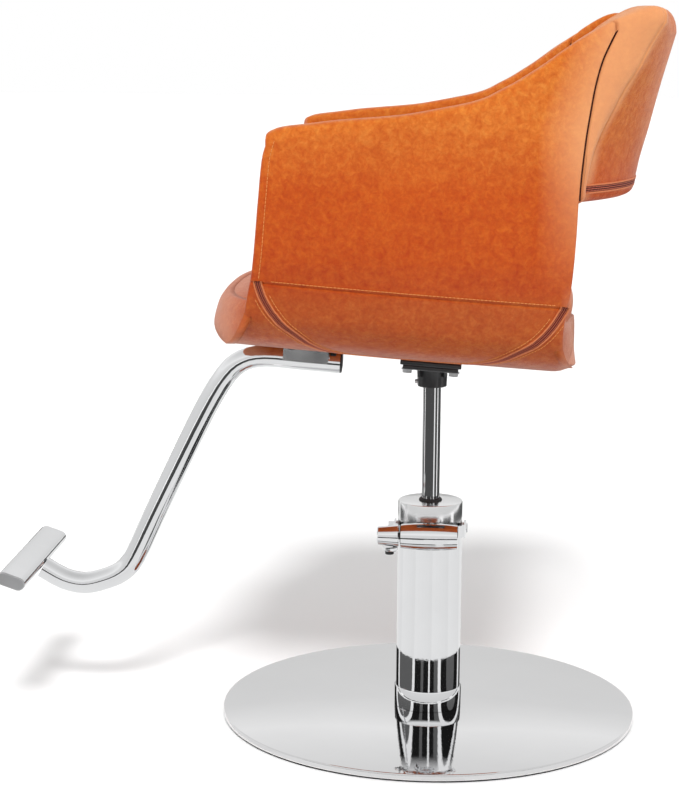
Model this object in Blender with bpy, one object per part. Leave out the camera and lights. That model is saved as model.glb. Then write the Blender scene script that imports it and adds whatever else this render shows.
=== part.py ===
"""Hydraulic salon styling chair: round stainless base, pump column with foot lever,
lifting and swivelling upholstered tub seat with open lower back, and tube footrest.

Metres, +Z up. The front of the chair faces -Y and its left side faces +X.
The origin is on the floor, on the column's axis.
"""

import math

import bmesh
import bpy
from mathutils import Matrix, Vector

# ---------------------------------------------------------------- driving dimensions
GAP = 0.0003

BASE_R = 0.305
COVER_TOP = 0.0118
COVER_T = 0.0012
COVER_LIP = 0.0030
COLUMN_R = 0.0475
COLUMN_WALL = 0.0030
COLUMN_TOP = 0.2900
CAP_TOP = 0.3230
ROD_R = 0.0130
CYLINDER_R = 0.0360
CYLINDER_BORE = 0.0280

LEVER_Z = 0.2880
STRAP_IN = 0.0500
STRAP_T = 0.0030
STRAP_H = 0.0180
BARREL_X = 0.0860
BARREL_Y = (-0.0405, 0.0425)

RAKE = math.radians(4.0)
HUB_BOTTOM = 0.4930
PLATE_TOP = 0.5403
PLATE_X = 0.0850
PLATE_Y = 0.0435
PLATE_T = 0.0065

TUBE_R = 0.0160
BAR_CENTRE = (-0.5960, 0.2210)
BAR_HALF = 0.1420
BAR_LONG = 0.0425
BAR_THICK = 0.0190
BAR_TILT = math.radians(19.0)

SHELL_TOP = 0.6150
CUSHION_HALF = 0.2140
WALL_T = 0.0480
SEAM_GAP = 0.0012
CORNER_MITRE = (-0.0460, -0.0300)
BAND_SPLIT = 0.82
CROWN = 0.0180
BAND_BOTTOM = 0.7800

# Footrest centreline in the Y, Z plane, from under the seat down to the foot bar.
TUBE_ROUTE = [
    (-0.134, 0.525), (-0.190, 0.529), (-0.244, 0.533), (-0.277, 0.526), (-0.303, 0.504),
    (-0.335, 0.450), (-0.377, 0.363), (-0.409, 0.295), (-0.441, 0.226), (-0.460, 0.203),
    (-0.487, 0.190), (-0.518, 0.183), (-0.549, 0.189), (-0.580, 0.206),
]

# Height of the arm's top edge along the chair.
ARM_TOP = [
    (-0.220, 0.848), (-0.213, 0.862), (-0.203, 0.871), (-0.185, 0.877), (-0.164, 0.881),
    (-0.126, 0.886), (-0.039, 0.893), (0.012, 0.902), (0.051, 0.910), (0.072, 0.917),
    (0.089, 0.926), (0.108, 0.936), (0.127, 0.948), (0.146, 0.960), (0.183, 0.988),
    (0.213, 1.006), (0.244, 1.024), (0.255, 1.030),
]

# How far forward the arm's front edge and the rear seam are, by height.
ARM_FRONT = [(0.600, -0.243), (0.650, -0.235), (0.690, -0.228), (0.780, -0.221), (0.860, -0.213), (0.900, -0.210)]
SEAM_REAR = [
    (0.600, 0.175), (0.660, 0.185), (0.735, 0.191), (0.800, 0.194), (0.863, 0.201),
    (0.899, 0.206), (0.930, 0.211), (0.962, 0.219), (0.988, 0.230), (1.010, 0.241), (1.030, 0.253),
]
SEAM_BACK = [
    (0.780, 0.1975), (0.798, 0.1985), (0.819, 0.2025), (0.847, 0.2105), (0.876, 0.2225),
    (0.903, 0.2365), (0.930, 0.2505), (0.957, 0.2675), (0.986, 0.2815), (1.030, 0.3095),
]
BACK_CENTRE = [
    (0.78, 0.277), (0.797, 0.283), (0.831, 0.291), (0.871, 0.302), (0.918, 0.313),
    (0.958, 0.323), (0.990, 0.331), (1.030, 0.340),
]
SEAM_REAR_X = 0.290
SEAM_BACK_X = 0.262

# Half width of the bowl under the seat, by height in the raked frame.
BOWL = [
    (0.000, 0.5410), (0.100, 0.5455), (0.150, 0.5530), (0.200, 0.5625), (0.235, 0.5750),
    (0.258, 0.5910), (0.270, 0.6030), (0.2765, 0.6150),
]

MATERIALS = {
    "stainless": ((0.78, 0.78, 0.79), 0.16, 1.0),
    "chrome": ((0.86, 0.87, 0.88), 0.04, 1.0),
    "satin_steel": ((0.62, 0.62, 0.63), 0.32, 1.0),
    "dark_steel": ((0.10, 0.10, 0.11), 0.45, 1.0),
    "black_paint": ((0.015, 0.015, 0.016), 0.40, 0.0),
    "rubber": ((0.02, 0.02, 0.02), 0.75, 0.0),
    "plywood": ((0.55, 0.40, 0.24), 0.60, 0.0),
    "leather": ((0.60, 0.17, 0.035), 0.45, 0.0),
}


# ---------------------------------------------------------------- helpers
def clear_scene():
    for obj in list(bpy.data.objects):
        bpy.data.objects.remove(obj, do_unlink=True)


def material(name, kind):
    color, roughness, metallic = MATERIALS[kind]
    mat = bpy.data.materials.new(name)
    mat.use_nodes = True
    shader = mat.node_tree.nodes["Principled BSDF"]
    shader.inputs["Base Color"].default_value = (*color, 1.0)
    shader.inputs["Roughness"].default_value = roughness
    shader.inputs["Metallic"].default_value = metallic
    return mat


def table(points, at):
    """Straight-line value of a table of (place, value) pairs, held at its ends."""
    if at <= points[0][0]:
        return points[0][1]
    for (a, first), (b, second) in zip(points, points[1:]):
        if at <= b:
            return first + (second - first) * (at - a) / (b - a)
    return points[-1][1]


def finish(name, bm, kind, smooth=True, matrix=None, parent=None):
    bmesh.ops.remove_doubles(bm, verts=bm.verts, dist=1e-7)
    bmesh.ops.recalc_face_normals(bm, faces=bm.faces)
    if matrix is not None:
        bmesh.ops.transform(bm, matrix=matrix, verts=bm.verts)
    origin = Vector(parent.location) if parent is not None else Vector()
    bmesh.ops.translate(bm, vec=-origin, verts=bm.verts)
    mesh = bpy.data.meshes.new(name)
    bm.to_mesh(mesh)
    bm.free()
    mesh.materials.append(material(name, kind))
    obj = bpy.data.objects.new(name, mesh)
    bpy.context.scene.collection.objects.link(obj)
    if smooth:
        mesh.shade_smooth()
        mesh.set_sharp_from_angle(angle=math.radians(35))
    if parent is not None:
        obj.parent = parent
    return obj


def strip_cap(bm, ring):
    """Closes a ring that isn't flat with a ladder of quads from its start and its end."""
    last = len(ring) - 1
    for i in range(len(ring) // 2):
        corners = [ring[i], ring[i + 1], ring[last - 1 - i], ring[last - i]]
        if corners[1] is corners[2]:
            corners.pop(2)
        if i < last - i - 1:
            bm.faces.new(corners)


def loft(name, rings, kind, around=False, smooth=True, matrix=None, parent=None, ladder=False):
    """Skins a list of equal rings. The ends are capped, or joined when the path closes."""
    bm = bmesh.new()
    made = [[bm.verts.new(point) for point in ring] for ring in rings]
    count = len(rings[0])
    pairs = list(zip(made, made[1:]))
    if around:
        pairs.append((made[-1], made[0]))
    for first, second in pairs:
        for i in range(count):
            j = (i + 1) % count
            bm.faces.new((first[i], first[j], second[j], second[i]))
    for ring in () if around else (made[0], made[-1]):
        if ladder:
            strip_cap(bm, ring)
        else:
            bm.faces.new(ring)
    return finish(name, bm, kind, smooth, matrix, parent)


def circle(radius, z, segments):
    step = 2 * math.pi / segments
    return [(radius * math.cos(i * step), radius * math.sin(i * step), z) for i in range(segments)]


def hexagon(flat, z, segments):
    """A ring of a hexagon's outline, with points shared out between its six corners."""
    ring = []
    for i in range(segments):
        angle = 2 * math.pi * i / segments
        part = (angle % (math.pi / 3)) - math.pi / 6
        radius = flat / math.cos(part)
        ring.append((radius * math.cos(angle), radius * math.sin(angle), z))
    return ring


def turned(name, profile, kind, segments=64, hollow=False, matrix=None, parent=None):
    """A turned solid from (radius, z) pairs. A hollow one has its profile as a closed loop."""
    rings = [circle(radius, z, segments) for radius, z in profile]
    return loft(name, rings, kind, around=hollow, matrix=matrix, parent=parent)


def block(name, low, high, kind, bevel=0.0, matrix=None, parent=None):
    bm = bmesh.new()
    size = Vector(high) - Vector(low)
    middle = (Vector(high) + Vector(low)) / 2
    bmesh.ops.create_cube(bm, size=1.0)
    bmesh.ops.scale(bm, vec=size, verts=bm.verts)
    if bevel:
        bmesh.ops.bevel(bm, geom=bm.edges[:], offset=bevel, segments=2, profile=0.5, affect="EDGES")
    bmesh.ops.translate(bm, vec=middle, verts=bm.verts)
    return finish(name, bm, kind, smooth=True, matrix=matrix, parent=parent)


def boolean(obj, other, operation):
    other.hide_render = True
    other.display_type = "WIRE"
    mod = obj.modifiers.new(operation.lower(), "BOOLEAN")
    mod.operation = operation
    mod.solver = "EXACT"
    mod.object = other


def cutter(name, radius, length, matrix, segments=12):
    profile = [(radius, -length / 2), (radius, length / 2)]
    return turned(name, profile, "dark_steel", segments, matrix=matrix)


def empty(name, location):
    obj = bpy.data.objects.new(name, None)
    obj.location = location
    bpy.context.scene.collection.objects.link(obj)
    return obj


def along_y(y=0.0, x=0.0, z=0.0):
    """Turns a solid made along +Z so that it runs along +Y."""
    return Matrix.Translation((x, y, z)) @ Matrix.Rotation(math.radians(-90), 4, "X")


def raked(x=0.0, y=0.0, z=0.0):
    """The seat's raked frame, tipped about the top of the mounting plate: the rear is lower."""
    pivot = Vector((0, 0, PLATE_TOP))
    tip = Matrix.Translation(pivot) @ Matrix.Rotation(-RAKE, 4, "X") @ Matrix.Translation(-pivot)
    return tip @ Matrix.Translation((x, y, z))


def rake_drop(y):
    return -math.tan(RAKE) * y


# ---------------------------------------------------------------- base and column
def base_cover():
    inner = 0.0440
    skirt = BASE_R - COVER_T
    profile = [
        (inner, COVER_TOP), (BASE_R - 0.0016, COVER_TOP), (BASE_R - 0.0005, COVER_TOP - 0.0005),
        (BASE_R, COVER_TOP - 0.0016), (BASE_R, COVER_LIP), (skirt, COVER_LIP),
        (skirt, COVER_TOP - COVER_T), (inner, COVER_TOP - COVER_T),
    ]
    turned("base_cover", profile, "stainless", 112, hollow=True)


def base_plate():
    profile = [(0.3030, 0.0030), (0.3030, COVER_TOP - COVER_T - GAP)]
    turned("base_plate", profile, "dark_steel", 64)


def base_pads():
    ring = [(0.2860, 0.0), (0.3022, 0.0), (0.3022, 0.0027), (0.2860, 0.0027)]
    turned("base_edge_pad", ring, "rubber", 64, hollow=True)
    turned("base_centre_pad", [(0.0600, 0.0), (0.0600, 0.0027)], "rubber", 32)


def column_tube():
    low = COVER_TOP + GAP
    wall = COLUMN_R - COLUMN_WALL
    profile = [(COLUMN_R, low), (COLUMN_R, COLUMN_TOP), (wall, COLUMN_TOP), (wall, low)]
    tube = turned("column_tube", profile, "chrome", 64, hollow=True)
    for side in (-1, 1):
        hole = cutter(f"cut_pivot_{side}", 0.0043, 0.03, along_y(side * COLUMN_R, 0, LEVER_Z - 0.006))
        boolean(tube, hole, "DIFFERENCE")


def column_collar():
    low = COVER_TOP + GAP
    top = low + 0.0300
    profile = [
        (COLUMN_R + GAP, low), (0.0495, low), (0.0495, top - 0.0015),
        (0.0485, top), (COLUMN_R + GAP, top),
    ]
    turned("column_foot_collar", profile, "chrome", 64, hollow=True)


def pump_cylinder():
    low = COVER_TOP + GAP
    floor = low + 0.0040
    top = COLUMN_TOP - 0.0020
    profile = [
        (CYLINDER_R, low), (CYLINDER_R, top), (CYLINDER_BORE, top), (CYLINDER_BORE, floor),
    ]
    turned("pump_cylinder", profile, "satin_steel", 32)


def guide_bush():
    top = COLUMN_TOP - 0.0020
    profile = [
        (ROD_R + GAP, top - 0.0260), (CYLINDER_BORE - GAP, top - 0.0260),
        (CYLINDER_BORE - GAP, top), (ROD_R + GAP, top),
    ]
    turned("rod_guide_bush", profile, "dark_steel", 32, hollow=True)


def column_cap():
    low = COLUMN_TOP + GAP
    edge = COLUMN_R - 0.0003
    profile = [
        (ROD_R + 0.0010, low), (edge, low), (edge, CAP_TOP - 0.0020), (edge - 0.0006, CAP_TOP - 0.0006),
        (edge - 0.0020, CAP_TOP), (0.0172, CAP_TOP), (0.0172, CAP_TOP - 0.0030),
        (ROD_R + 0.0010, CAP_TOP - 0.0030),
    ]
    turned("column_cap", profile, "chrome", 64, hollow=True)


def wiper_seal():
    low = CAP_TOP - 0.0030 + GAP
    profile = [
        (ROD_R + GAP, low), (0.0169, low), (0.0169, CAP_TOP + 0.0012),
        (0.0158, CAP_TOP + 0.0028), (ROD_R + GAP, CAP_TOP + 0.0022),
    ]
    turned("rod_wiper_seal", profile, "rubber", 32, hollow=True)


def pivot_bolts():
    """One at each side of the column: a plain shank through the lever's strap and a hex head."""
    z = LEVER_Z - 0.006
    outer = STRAP_IN + STRAP_T
    for side, tag, head in ((-1, "right", 0.0080), (1, "left", 0.0022)):
        turn = along_y(0, 0, z) if side > 0 else Matrix.Rotation(math.pi, 4, "Z") @ along_y(0, 0, z)
        rings = [
            circle(0.0038, COLUMN_R - 0.0060, 12), circle(0.0038, outer + GAP, 12),
            hexagon(0.0065, outer + GAP, 12), hexagon(0.0065, outer + GAP + head - 0.0006, 12),
            hexagon(0.0058, outer + GAP + head, 12),
        ]
        loft(f"lever_pivot_bolt_{tag}", rings, "chrome", matrix=turn)
        spacer = [
            (0.0041, 0.0479), (0.0085, 0.0479), (0.0085, STRAP_IN - GAP), (0.0041, STRAP_IN - GAP),
        ]
        turned(f"lever_spacer_{tag}", spacer, "satin_steel", 16, hollow=True, matrix=turn)


# ---------------------------------------------------------------- pump lever
def strap_plan():
    """The strap's centre line in plan: back along each side of the column, round in front of it."""
    line = STRAP_IN + STRAP_T / 2
    front = 0.0640
    bend = 0.0300
    points = [(-0.0110, -line), (0.0150, -line)]
    for i in range(9):
        angle = math.radians(90 * i / 8)
        points.append((front - bend + bend * math.sin(angle), -(line - bend) - bend * math.cos(angle)))
    return points + [(x, -y) for x, y in reversed(points)]


def lever_yoke(parent):
    plan = strap_plan()
    rings = []
    for i, (x, y) in enumerate(plan):
        x0, y0 = plan[max(i - 1, 0)]
        x1, y1 = plan[min(i + 1, len(plan) - 1)]
        side = Vector((y1 - y0, x0 - x1)).normalized() * (STRAP_T / 2)
        tall = STRAP_H / 2
        mid = -0.006 if i in (0, 1, len(plan) - 2, len(plan) - 1) else -0.003
        if 3 < i < len(plan) - 4:
            mid = 0.0
        z = LEVER_Z + mid
        rings.append([
            (x - side.x, y - side.y, z - tall), (x + side.x, y + side.y, z - tall),
            (x + side.x, y + side.y, z + tall), (x - side.x, y - side.y, z + tall),
        ])
    yoke = loft("lever_yoke", rings, "chrome", parent=parent)
    for side in (-1, 1):
        place = along_y(side * STRAP_IN, 0, LEVER_Z - 0.006)
        hole = cutter(f"cut_yoke_{side}", 0.0041, 0.03, place)
        boolean(yoke, hole, "DIFFERENCE")


def pedal_barrel(parent):
    """A crowned chrome barrel in front of the strap."""
    low, high = BARREL_Y
    half = (high - low) / 2
    profile = []
    for i in range(9):
        share = -1 + 2 * i / 8
        radius = 0.0200 - 0.0028 * share * share
        profile.append((radius, share * half))
    profile = [(0.0150, -half)] + profile + [(0.0150, half)]
    profile[1] = (profile[1][0], -half + 0.0010)
    profile[-2] = (profile[-2][0], half - 0.0010)
    turned("pedal_barrel", profile, "chrome", 32, matrix=along_y((low + high) / 2, BARREL_X, LEVER_Z),
           parent=parent)


def pedal_knob(parent):
    """Tapered end knob, just off the barrel's front end."""
    end = BARREL_Y[0] - 0.0018
    profile = [
        (0.0115, -0.0310), (0.0128, -0.0298), (0.0160, -0.0012), (0.0150, 0.0),
    ]
    turned("pedal_knob", profile, "chrome", 32, matrix=along_y(end, BARREL_X, LEVER_Z), parent=parent)
    spindle = [(0.0050, -0.0020 + GAP), (0.0050, -GAP)]
    turned("pedal_spindle", spindle, "dark_steel", 16,
           matrix=along_y(BARREL_Y[0], BARREL_X, LEVER_Z), parent=parent)


def pedal_stop(parent):
    """A chrome lug under the knob and the rubber stop below it."""
    middle = BARREL_Y[0] - 0.0160
    lug = [(0.0100, -0.0212), (0.0110, -0.0202), (0.0110, -0.0163)]
    turned("pedal_lug", lug, "chrome", 24,
           matrix=Matrix.Translation((BARREL_X, middle + 0.002, LEVER_Z)), parent=parent)
    stub = [(0.0055, -0.0268), (0.0062, -0.0262), (0.0062, -0.0212 - GAP)]
    turned("pedal_stop", stub, "rubber", 20,
           matrix=Matrix.Translation((BARREL_X, middle + 0.001, LEVER_Z)), parent=parent)


# ---------------------------------------------------------------- lift
def lift_parts(seat):
    piston = [
        (0.0200, 0.1560), (CYLINDER_BORE - GAP, 0.1580), (CYLINDER_BORE - GAP, 0.1720),
    ]
    turned("lift_piston", piston, "dark_steel", 32)
    rod = [(ROD_R - 0.001, 0.1723), (ROD_R, 0.1733), (ROD_R, 0.5180), (ROD_R - 0.001, 0.5190)]
    turned("lift_rod", rod, "chrome", 32, parent=seat)


def seat_hub(seat):
    top = PLATE_TOP - 2 * PLATE_T - 0.0024
    profile = [
        (0.0205, HUB_BOTTOM), (0.0212, HUB_BOTTOM + 0.0008), (0.0224, top - 0.004), (0.0235, top),
        (0.0100, top), (0.0100, 0.5205), (ROD_R + GAP, 0.5200), (ROD_R + GAP, HUB_BOTTOM),
    ]
    hub = turned("seat_hub", profile, "black_paint", 32, hollow=True, parent=seat)
    for i in range(4):
        turn = Matrix.Rotation(math.radians(45 + 90 * i), 4, "Z")
        rib = block(f"cut_rib_{i}", (0.0180, -0.0020, HUB_BOTTOM + 0.016), (0.0275, 0.0020, top),
                    "black_paint", matrix=turn)
        boolean(hub, rib, "UNION")
    hole = cutter("cut_set_screw", 0.0035, 0.03, along_y(-0.0240, 0, 0.4995))
    boolean(hub, hole, "DIFFERENCE")
    screw = [(0.0031, -0.0250), (0.0031, -0.0136)]
    turned("hub_set_screw", screw, "satin_steel", 16, matrix=along_y(0, 0, 0.4995), parent=seat)


def mounting_plates(seat):
    top = PLATE_TOP
    lower = top - PLATE_T - GAP
    upper = block("mounting_plate", (-PLATE_X, -PLATE_Y, top - PLATE_T), (PLATE_X, PLATE_Y, top),
                  "black_paint", 0.0015, raked(), seat)
    under = block("mounting_plate_rib", (-PLATE_X + 0.004, -PLATE_Y + 0.004, lower - PLATE_T),
                  (PLATE_X - 0.004, PLATE_Y - 0.004, lower), "black_paint", 0.0018, raked(), seat)
    for i, (x, y) in enumerate(bolt_places()):
        drill = cutter(f"cut_bolt_{i}", 0.0045, 0.06, raked(x, y, top - PLATE_T))
        boolean(upper, drill, "DIFFERENCE")
        boolean(under, drill, "DIFFERENCE")
        head = lower - PLATE_T - GAP
        rings = [
            hexagon(0.0058, head - 0.0062, 12), hexagon(0.0065, head - 0.0055, 12),
            hexagon(0.0065, head - 0.0015, 12), circle(0.0085, head - 0.0015, 12),
            circle(0.0085, head, 12), circle(0.0039, head, 12), circle(0.0039, 0.5700, 12),
        ]
        loft(f"mounting_bolt_{i + 1}", rings, "satin_steel", matrix=raked(x, y, 0), parent=seat)


def bolt_places():
    return [(sx * 0.0660, sy * 0.0330) for sx in (-1, 1) for sy in (-1, 1)]


# ---------------------------------------------------------------- footrest
def smooth_route(points, steps):
    """Catmull-Rom points along the route, so that the bends are round."""
    ends = [points[0]] + list(points) + [points[-1]]
    made = []
    for k in range(1, len(ends) - 2):
        p0, p1, p2, p3 = (Vector(ends[k + j]) for j in (-1, 0, 1, 2))
        for i in range(steps):
            t = i / steps
            spot = 0.5 * (2 * p1 + (p2 - p0) * t + (2 * p0 - 5 * p1 + 4 * p2 - p3) * t * t
                          + (3 * p1 - p0 - 3 * p2 + p3) * t ** 3)
            made.append(spot)
    made.append(Vector(points[-1]))
    return made


def route_ring(spot, heading, radius, segments):
    normal = Vector((-heading.y, heading.x))
    ring = []
    for i in range(segments):
        angle = 2 * math.pi * i / segments
        x = radius * math.cos(angle)
        off = normal * (radius * math.sin(angle))
        ring.append((x, spot.x + off.x, spot.y + off.y))
    return ring


def footrest_tube(seat):
    route = smooth_route(TUBE_ROUTE, 3)
    rings = []
    for i, spot in enumerate(route):
        before = route[max(i - 1, 0)]
        after = route[min(i + 1, len(route) - 1)]
        rings.append(route_ring(spot, (after - before).normalized(), TUBE_R, 20))
    loft("footrest_tube", rings, "chrome", parent=seat)
    start = Vector(TUBE_ROUTE[0])
    back = (start - Vector(TUBE_ROUTE[1])).normalized()
    plug = [
        route_ring(start + back * GAP, back, TUBE_R - 0.0008, 20),
        route_ring(start + back * 0.0018, back, TUBE_R - 0.0008, 20),
        route_ring(start + back * 0.0026, back, TUBE_R - 0.0022, 20),
    ]
    loft("footrest_tube_plug", plug, "black_paint", parent=seat)


def stadium(long, thick, x, centre, tilt, steps=6):
    """A flat oval across Y and Z at one place along X, tilted so that its front edge is higher."""
    radius = thick / 2
    half = long / 2 - radius
    ring = []
    for side, start in ((-1, 90), (1, -90)):
        for i in range(steps + 1):
            angle = math.radians(start + 180 * i / steps)
            u = side * half + radius * math.cos(angle)
            v = radius * math.sin(angle)
            y = u * math.cos(tilt) + v * math.sin(tilt)
            z = -u * math.sin(tilt) + v * math.cos(tilt)
            ring.append((x, centre[0] + y, centre[1] + z))
    return ring


def footrest_bar(seat):
    def ring(x, shrink=0.0):
        return stadium(BAR_LONG - shrink, BAR_THICK - shrink, x, BAR_CENTRE, BAR_TILT)

    bar = loft("footrest_bar", [ring(-BAR_HALF), ring(BAR_HALF)], "chrome", parent=seat)
    route = smooth_route(TUBE_ROUTE, 3)
    end = route[-1]
    heading = (end - route[-3]).normalized()
    pocket = [
        route_ring(end - heading * 0.040, heading, TUBE_R + GAP, 20),
        route_ring(end + heading * GAP, heading, TUBE_R + GAP, 20),
    ]
    boolean(bar, loft("cut_bar_tube", pocket, "dark_steel"), "DIFFERENCE")
    for side, tag in ((-1, "right"), (1, "left")):
        face = side * BAR_HALF
        rings = [
            ring(face + side * GAP, 0.0006), ring(face + side * 0.0020, 0.0006),
            ring(face + side * 0.0028, 0.0024),
        ]
        loft(f"footrest_bar_cap_{tag}", rings, "satin_steel", parent=seat)


def footrest_bracket(seat):
    """A pressed channel with two ears, from the bowl's underside down over the tube's end."""
    top = 0.5406
    ear = 0.0400
    half = TUBE_R + 0.0010
    outline = [
        (-ear, top), (-ear, top - 0.0030), (-half - 0.0030, top - 0.0030), (-half - 0.0030, top - 0.0260),
        (-half, top - 0.0260), (-half, top - 0.0060), (half, top - 0.0060), (half, top - 0.0260),
        (half + 0.0030, top - 0.0260), (half + 0.0030, top - 0.0030), (ear, top - 0.0030), (ear, top),
    ]
    rings = [[(x, y, z) for x, z in outline] for y in (-0.2160, -0.1500)]
    turn = raked()
    loft("footrest_bracket", rings, "satin_steel", smooth=False, matrix=turn, parent=seat)
    for i, (x, y) in enumerate(((-0.031, -0.203), (0.031, -0.203), (-0.031, -0.163), (0.031, -0.163))):
        head = top - 0.0030 - GAP
        rings = [
            hexagon(0.0042, head - 0.0040, 12), hexagon(0.0048, head - 0.0035, 12),
            hexagon(0.0048, head, 12),
        ]
        loft(f"bracket_screw_{i + 1}", rings, "dark_steel", matrix=raked(x, y, 0), parent=seat)
    block("bracket_pad", (-0.0140, -0.1480, top - 0.0085), (0.0140, -0.1400, top), "rubber", 0.0010,
          turn, seat)


# ---------------------------------------------------------------- seat and upholstery
def seat_board(seat):
    board = block("seat_board", (-0.1480, -0.1900, 0.5640), (0.1480, 0.1300, 0.5760), "plywood",
                  0.0020, raked(), seat)
    for i, (x, y) in enumerate(bolt_places()):
        boolean(board, cutter(f"cut_board_{i}", 0.0045, 0.06, raked(x, y, 0.57)), "DIFFERENCE")


def bowl_ring(y, shrink, lift):
    """The bowl's cross-section at one place along the seat: curved below, flat on top."""
    right = [(x, z) for x, z in BOWL]
    points = []
    for x, z in right[::-1] + [(-x, z) for x, z in right[1:]]:
        points.append((x * shrink, y, SHELL_TOP - (SHELL_TOP - z) * (1 - lift)))
    return points


def seat_shell(seat):
    stations = [
        (-0.2440, 0.930, 0.34), (-0.2400, 0.955, 0.20), (-0.2300, 0.975, 0.09), (-0.2150, 0.990, 0.02),
        (-0.1900, 1.000, 0.00), (-0.1000, 1.000, 0.00), (0.0000, 1.000, 0.00), (0.1000, 0.995, 0.00),
        (0.1570, 0.985, 0.02), (0.1820, 0.965, 0.08), (0.1970, 0.930, 0.22), (0.2080, 0.880, 0.50),
    ]
    rings = [bowl_ring(y, shrink, lift) for y, shrink, lift in stations]
    shell = loft("seat_shell", rings, "leather", matrix=raked(), parent=seat)
    pocket = block("cut_board_pocket", (-0.1486, -0.1906, 0.5634), (0.1486, 0.1306, 0.7000), "plywood",
                   matrix=raked())
    boolean(shell, pocket, "DIFFERENCE")
    for i, (x, y) in enumerate(bolt_places()):
        boolean(shell, cutter(f"cut_shell_{i}", 0.0048, 0.06, raked(x, y, 0.56)), "DIFFERENCE")


def seat_filler(seat):
    """The firm foam core between the board and the cushion, flush with the bowl's top."""
    core = block("seat_core", (-0.1478, -0.1898, 0.5763), (0.1478, 0.1298, SHELL_TOP), "leather",
                 0.0010, raked(), seat)
    return core


def cushion_ring(y, half, low, top):
    """A crowned cross-section of the cushion."""
    edge = 0.018
    points = [(-half + edge, low), (half - edge, low)]
    for i in range(4):
        angle = math.radians(-90 + 30 * i)
        points.append((half - edge + edge * math.cos(angle), low + edge * (1 + math.sin(angle))))
    for i in range(7):
        share = 1 - 2 * i / 6
        x = share * (half - 0.012)
        points.append((x, top - 0.010 * share * share))
    for i in range(4):
        angle = math.radians(180 + 30 * i)
        points.append((-half + edge + edge * math.cos(angle), low + edge * (1 + math.sin(angle))))
    return [(x, y, z) for x, z in points]


def seat_cushion(seat):
    low = SHELL_TOP + 0.0006
    rear = [(0.1380, 0.190, 0.640), (0.1320, 0.204, 0.646), (0.1140, CUSHION_HALF, 0.650)]
    body = [(0.0000, CUSHION_HALF, 0.652), (-0.1200, CUSHION_HALF, 0.653), (-0.2450, CUSHION_HALF, 0.648)]
    front = [
        (-0.2456, CUSHION_HALF, 0.556, 0.648), (-0.2700, 0.214, 0.546, 0.640), (-0.2900, 0.210, 0.543, 0.630),
        (-0.3050, 0.200, 0.546, 0.614), (-0.3140, 0.186, 0.554, 0.598),
    ]
    rings = [cushion_ring(y, half, low, top) for y, half, top in rear + body]
    rings += [cushion_ring(y, half, bottom, top) for y, half, bottom, top in front]
    loft("seat_cushion", rings, "leather", matrix=raked(), parent=seat)


def seat_rear_roll(seat):
    """The low upholstered lip that closes the seat behind the cushion."""
    rings = []
    for share in [-1.0, -0.9, -0.6, 0.0, 0.6, 0.9, 1.0]:
        end = 0.80 if abs(share) == 1 else 1.0
        x = share * (CUSHION_HALF - 0.002)
        ring = []
        for i in range(16):
            angle = 2 * math.pi * i / 16
            y = 0.1640 + 0.0235 * end * math.cos(angle)
            z = 0.6500 + 0.0335 * end * math.sin(angle)
            ring.append((x, y, z))
        rings.append(ring)
    loft("seat_rear_roll", rings, "leather", matrix=raked(), parent=seat)


def side_width(y, z):
    """Half width of the outer side at a place: fuller in the middle, slightly narrower below."""
    middle = 0.300 - 0.35 * (y + 0.005) ** 2 * (1.0 if y < -0.005 else 0.8)
    low = max(0.0, 0.70 - z)
    return middle - 1.6 * low * low - 0.10 * low


def arm_skin(u, v, bottom, ahead=0.0):
    """Skin of an arm: u from its front edge to the rear seam, v from bottom to top.

    The lining's skin takes its height from further along the chair, by ahead.
    """
    y = -0.235 + 0.47 * u
    for _ in range(12):
        top = table(ARM_TOP, y + ahead) - CROWN
        z_low = bottom + rake_drop(y + ahead)
        z = z_low + (top - z_low) * v
        front = table(ARM_FRONT, z)
        rear = table(SEAM_REAR, z) - SEAM_GAP
        y = front + (rear - front) * u
    return Vector((side_width(y, z), y, z))


def wall_ring(skin, lining, count):
    """Cross-section of a padded wall: outer skin going up, a rounded top, lining going down."""
    ring = [skin(i / (count - 1)) for i in range(count)]
    inner = [lining(i / (count - 1)) for i in range(count)]
    first, last = ring[-1], inner[-1]
    for i in range(1, 6):
        angle = math.radians(180 * i / 6)
        across = (1 - math.cos(angle)) / 2
        ring.append(first.lerp(last, across) + Vector((0, 0, CROWN * math.sin(angle))))
    return ring + inner[::-1]


def arm(seat, side, tag):
    rings = []
    steps = 14
    bottom = SHELL_TOP + 0.0008
    for k in range(steps + 1):
        u = k / steps
        ahead = arm_skin(min(u + 0.01, 1.0), 0.5, bottom)
        behind = arm_skin(max(u - 0.01, 0.0), 0.5, bottom)
        run = (ahead - behind).normalized()
        inward = Vector((-run.y, run.x, 0)).normalized() * WALL_T
        inward = inward.lerp(Vector((*CORNER_MITRE, 0)), max(0.0, (u - 0.8) / 0.2))
        if k == 0:
            inward *= 0.92
        ring = wall_ring(
            lambda v: arm_skin(u, v, bottom),
            lambda v: arm_skin(u, v, bottom, inward.y) + Vector((inward.x, inward.y, 0)),
            10,
        )
        rings.append([(side * p.x, p.y, p.z) for p in ring])
    loft(f"arm_{tag}", rings, "leather", parent=seat, ladder=True)


def back_plan(x, z):
    """Outer face of the backrest band between its two seams, by width and height."""
    rear = table(BACK_CENTRE, z)
    corner = table(SEAM_BACK, z)
    share = min(abs(x) / SEAM_BACK_X, 1.0)
    return rear - (rear - corner) * share ** 2.3


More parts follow.
